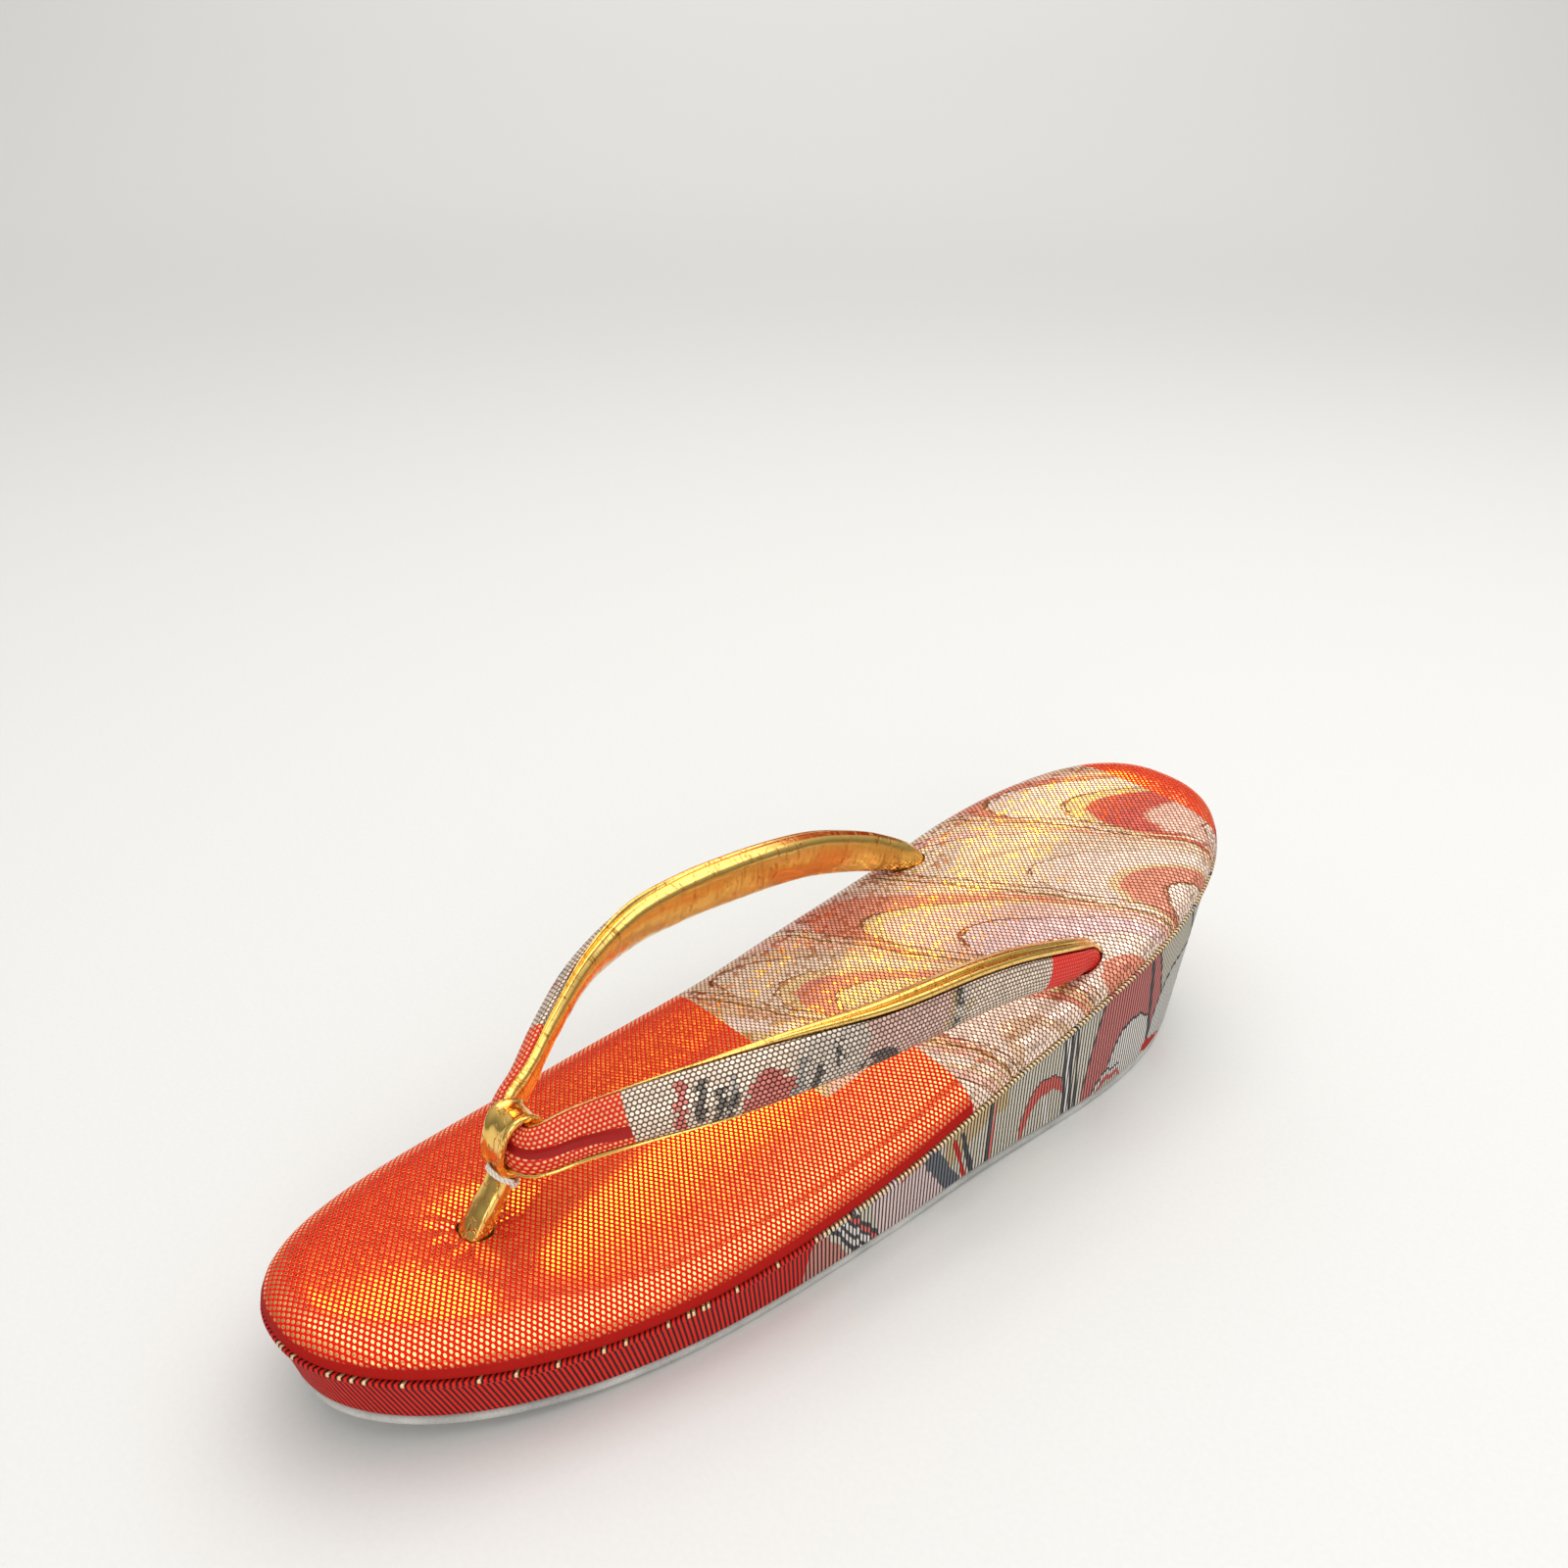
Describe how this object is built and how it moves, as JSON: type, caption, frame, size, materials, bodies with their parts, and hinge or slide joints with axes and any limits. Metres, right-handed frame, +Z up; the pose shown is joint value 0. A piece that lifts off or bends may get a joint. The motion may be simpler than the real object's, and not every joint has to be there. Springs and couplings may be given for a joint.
{
  "type": "zori sandal",
  "caption": "Zori sandal: tapered wedge covered in cloth, padded brocade foot bed, and a brocade strap in a V from a gold toe thong to the sides.",
  "frame": {"origin": "on the floor, under the middle of the sandal's length and width", "axes": "+Z up, -Y to the toe, +Y to the heel, and X across, with both sides alike"},
  "size_m": [0.0734, 0.2361, 0.0558],
  "materials": {
    "sole_leather": "matte, buffed edge",
    "side_cloth": "ribbed silk with metallic thread",
    "bed_brocade": "silk brocade with gold thread",
    "strap_brocade": "silk brocade with metallic thread",
    "lining_leather": "crinkled gold foil",
    "thong_leather": "crinkled gold foil",
    "tie_thread": "pale thread"
  },
  "bodies": {
    "root": {"outsole": "sole_leather", "wedge": "side_cloth", "foot_bed": "bed_brocade", "strap_cover": "strap_brocade", "strap_lining": "lining_leather", "front_thong": "thong_leather", "thong_tie": "tie_thread"}
  },
  "joints": []
}
